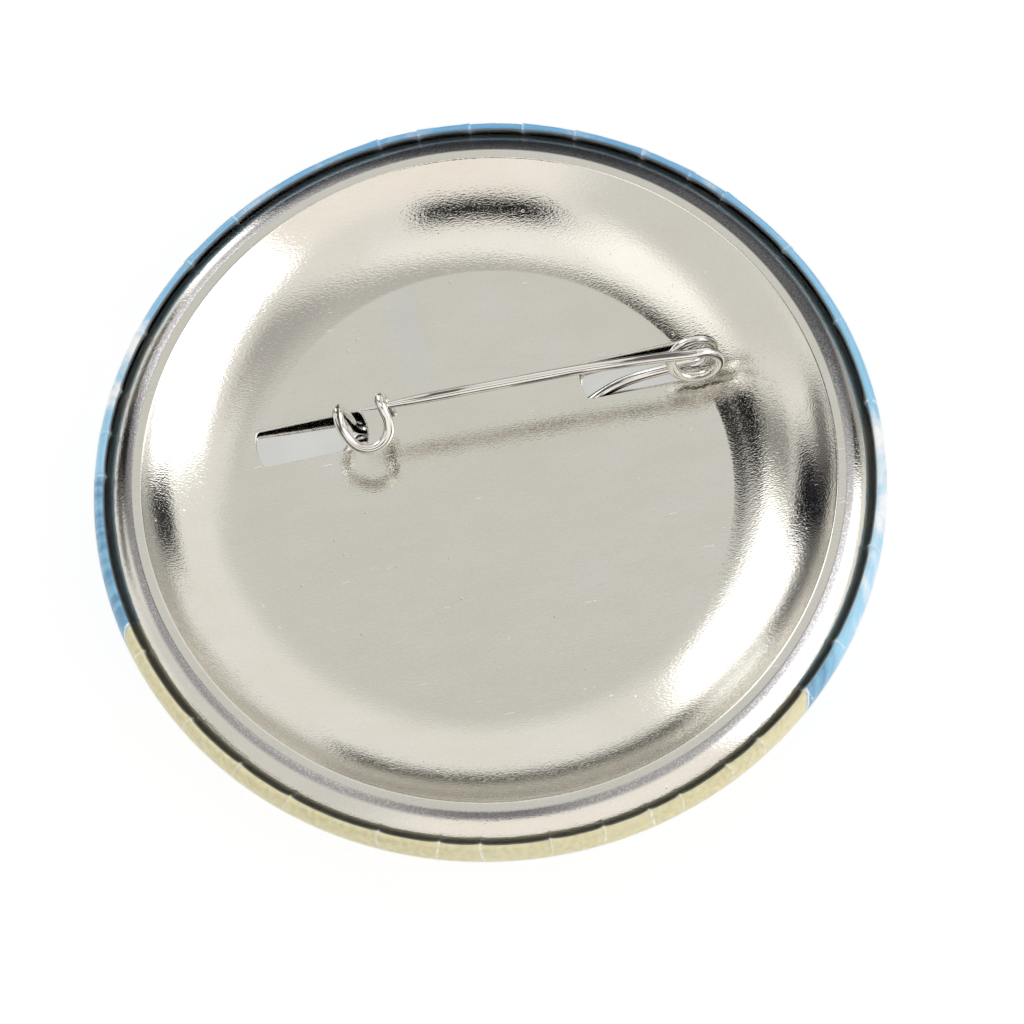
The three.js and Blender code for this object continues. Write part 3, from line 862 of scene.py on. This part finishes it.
def swept(name, route, radii, material, nodes, round_start, round_end):
    """A round bar along a route of samples.

    Rounded ends are half balls, others are cut flat with a small bevel.
    """
    tangents = np.gradient(route, axis=0)
    tangents /= np.linalg.norm(tangents, axis=1)[:, None]
    side = np.cross(tangents[0], (0.0, 0.0, 1.0))
    side /= np.linalg.norm(side)
    frames = []
    for tangent in tangents:
        side = side - tangent * side.dot(tangent)
        side /= np.linalg.norm(side)
        frames.append((side, np.cross(tangent, side)))
    turns = np.linspace(0, 2 * math.pi, WIRE_SIDES, endpoint=False)

    def ring(index, shift, radius):
        one, two = frames[index]
        centre = route[index] + shift * tangents[index]
        return [centre + radius * (math.cos(t) * one + math.sin(t) * two) for t in turns]

    def cap(index, sign, rounded):
        radius = radii[index]
        if rounded:
            return [
                ring(index, sign * radius * math.sin(a), BALL_END_SHRINK * radius * math.cos(a))
                for a in np.radians(BALL_END_ANGLES)
            ]
        bevel = CUT_END_BEVEL * radius
        return [
            ring(index, sign * bevel * 0.6, radius - bevel * 0.3),
            ring(index, sign * bevel, radius - bevel),
            ring(index, sign * bevel, CUT_END_CENTRE),
        ]

    rows = cap(0, -1, round_start)[::-1] + [ring(i, 0, radii[i]) for i in range(len(route))]
    rows += cap(len(route) - 1, 1, round_end)
    count = len(rows)
    vertices = [tuple(p) for row in rows for p in row]
    faces = ring_faces(count, WIRE_SIDES)
    faces.append(tuple(range(WIRE_SIDES))[::-1])
    faces.append(tuple(range((count - 1) * WIRE_SIDES, count * WIRE_SIDES)))
    uv = [(i / WIRE_SIDES, row * WIRE_STEP) for row in range(count) for i in range(WIRE_SIDES)]
    return finish_piece(name, vertices, faces, material, nodes, {"wire": uv})


def spring_wire(material):
    """One length of wire in three pieces: the arm, the coil, and the base with its catch."""
    coil_points = [coil_point(share) for share in np.linspace(0, 1, COIL_STEPS + 1)]
    samples, marks = smooth_route(ARM_ROUTE + coil_points + BASE_ROUTE + CATCH_ROUTE, WIRE_STEP)
    root = marks[len(ARM_ROUTE)]
    foot = marks[len(ARM_ROUTE) + len(coil_points) - 1]
    along = np.concatenate(([0], np.cumsum(np.linalg.norm(np.diff(samples, axis=0), axis=1))))
    share = np.clip(1 - along / TIP_LENGTH, 0, 1)
    radii = WIRE_RADIUS - (WIRE_RADIUS - TIP_RADIUS) * share ** 2
    arm = swept("pin_arm_fine", samples[:root + 1], radii[:root + 1], material, ["pin_arm"], True, True)
    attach(arm, "pin")
    stretch = slice(root, foot + 1)
    coil = swept("spring_coil_fine", samples[stretch], radii[stretch], material, ["spring_coil"], True, True)
    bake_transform(coil)
    nodes = ["base_wire", "catch_hook"]
    base = swept("base_and_catch", samples[foot:], radii[foot:], material, nodes, True, False)
    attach(base, "badge")


# ---- Light and floor ----

WHITE_LIGHT = (1, 1, 1, 1)
BACKDROP = (0.955, 0.94, 0.91, 1)
# Soft cards around the badge: azimuth and elevation of the middle, half widths, softness (degrees), radiance.
# A later card covers an earlier one.
CARDS = [
    ("overhead_left", 235, 80, 74, 11, 18, (1.10, 1.08, 1.05, 1)),
    ("overhead_right", 60, 78, 90, 14, 10, (0.58, 0.57, 0.55, 1)),
    ("far_sky", 85, 62, 55, 14, 10, (0.76, 0.76, 0.735, 1)),
    ("left_fill", 190, 64, 27, 10, 10, (1.32, 1.30, 1.27, 1)),
    ("left_wall", 197, 32, 32, 17, 12, (0.80, 0.79, 0.77, 1)),
    ("near_wall", 277, 33, 40, 13, 12, (1.10, 1.04, 1.0, 1)),
    ("right_shade", 350, 66, 18, 9, 9, (0.50, 0.49, 0.48, 1)),
    ("near_horizon", 256, 5, 66, 8, 6, (0.05, 0.05, 0.05, 1)),
    ("right_softbox", -18, 32, 28, 17, 5, (2.4, 2.4, 2.4, 1)),
    ("left_softbox", 118, 32, 14, 15, 5, (2.3, 2.3, 2.3, 1)),
    ("far_low", 60, -22, 52, 23, 5, (0.04, 0.04, 0.05, 1)),
    ("far_flag", 84, 7, 21, 5, 4, (0.08, 0.08, 0.08, 1)),
    ("left_low_strip", 112, -3, 5, 10, 5, (2.0, 2.0, 2.0, 1)),
    ("left_flag", 141, 17, 9, 13, 5, (0.01, 0.01, 0.015, 1)),
    ("left_flag_side", 153, 14, 8, 5, 6, (0.18, 0.17, 0.17, 1)),
    ("left_flag_foot", 127, 7, 8, 6, 6, (0.15, 0.15, 0.15, 1)),
    ("left_flag_neck", 146, 44, 8, 10, 6, (0.33, 0.32, 0.31, 1)),
    ("left_flag_top", 142, 57, 13, 7, 5, (0.005, 0.005, 0.005, 1)),
    ("left_flag_tip", 129, 67, 14, 10, 6, (0.03, 0.03, 0.03, 1)),
    ("right_flag", 18, 18, 8, 8, 5, (0.03, 0.03, 0.03, 1)),
    ("right_flag_foot", 23, 5, 10, 7, 6, (0.45, 0.44, 0.43, 1)),
    ("camera", 255, 58.5, 22, 6.5, 4, (0.004, 0.004, 0.006, 1)),
]


def light_world():
    """A plain studio: an off-white room with two soft boxes, dark flags and the camera's own dark shape."""
    world = bpy.data.worlds.new("studio")
    bpy.context.scene.world = world
    world.use_nodes = True
    g = Graph(world.node_tree)
    towards = g.node("ShaderNodeTexCoord").outputs["Generated"]
    split = g.node("ShaderNodeSeparateXYZ", {"Vector": towards})
    azimuth = g.math("DEGREES", g.math("ARCTAN2", split.outputs[1], split.outputs[0]))
    elevation = g.math("DEGREES", g.math("ARCSINE", split.outputs[2]))
    light = BACKDROP
    for _, middle, height, half_width, half_height, soft, radiance in CARDS:
        aside = g.math("ABSOLUTE", g.math("WRAP", g.math("SUBTRACT", azimuth, middle), 180.0, -180.0))
        above = g.math("ABSOLUTE", g.math("SUBTRACT", elevation, height))
        across = g.ramp(aside, half_width - soft / 2, half_width + soft / 2, 1.0, 0.0)
        along = g.ramp(above, half_height - soft / 2, half_height + soft / 2, 1.0, 0.0)
        light = g.mix(g.math("MULTIPLY", across, along), light, radiance)
    seen = g.node("ShaderNodeLightPath").outputs["Is Camera Ray"]
    light = g.mix(seen, light, WHITE_LIGHT)
    background = world.node_tree.nodes["Background"]
    g.feed(background.inputs["Color"], light)
    background.inputs["Strength"].default_value = 1.0


FLOOR_SIZE = 2.0  # metres, half the width
FLOOR_GLOW = 1.03
FLOOR_PAINT = (0.92, 0.92, 0.92, 1)
FLOOR_PAINT_SHARE = 0.12


def add_floor():
    """A white light table under the badge, left out of the metal's reflections and clear from underneath."""
    corners = [(x * FLOOR_SIZE, y * FLOOR_SIZE, 0) for x, y in ((-1, -1), (1, -1), (1, 1), (-1, 1))]
    mesh = bpy.data.meshes.new("floor")
    mesh.from_pydata(corners, [], [(0, 1, 2, 3)])
    material = bpy.data.materials.new("light_table")
    material.use_nodes = True
    g = Graph(material.node_tree)
    glow = g.node("ShaderNodeEmission", {"Color": WHITE_LIGHT, "Strength": FLOOR_GLOW})
    paint = g.node("ShaderNodeBsdfDiffuse", {"Color": FLOOR_PAINT})
    both = g.node("ShaderNodeMixShader", {0: FLOOR_PAINT_SHARE, 1: glow.outputs[0], 2: paint.outputs[0]})
    underneath = g.node("ShaderNodeNewGeometry").outputs["Backfacing"]
    clear = g.node("ShaderNodeBsdfTransparent").outputs[0]
    both = g.node("ShaderNodeMixShader", {0: underneath, 1: both.outputs[0], 2: clear})
    output = material.node_tree.nodes["Material Output"]
    g.feed(output.inputs["Surface"], both.outputs[0])
    mesh.materials.append(material)
    floor = bpy.data.objects.new("floor", mesh)
    bpy.context.scene.collection.objects.link(floor)
    floor.visible_glossy = False


# ---- The badge ----

add_camera()
light_world()
add_floor()
bpy.context.scene.view_settings.view_transform = "Standard"
bpy.context.scene.view_settings.look = "None"

film = wrapped_sheet("film_wrap", 0, FILM_THICKNESS, film_material(), "clear_film")
paper_depth = FILM_THICKNESS + SHEET_GAP
paper = wrapped_sheet(
    "print_wrap", paper_depth, PAPER_THICKNESS, print_material(), "printed_sheet",
)
shell = front_shell(shell_material())
plate = back_plate(tinplate_material())
for piece in (film, paper, shell, plate):
    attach(piece, "badge")
spring_wire(wire_material())
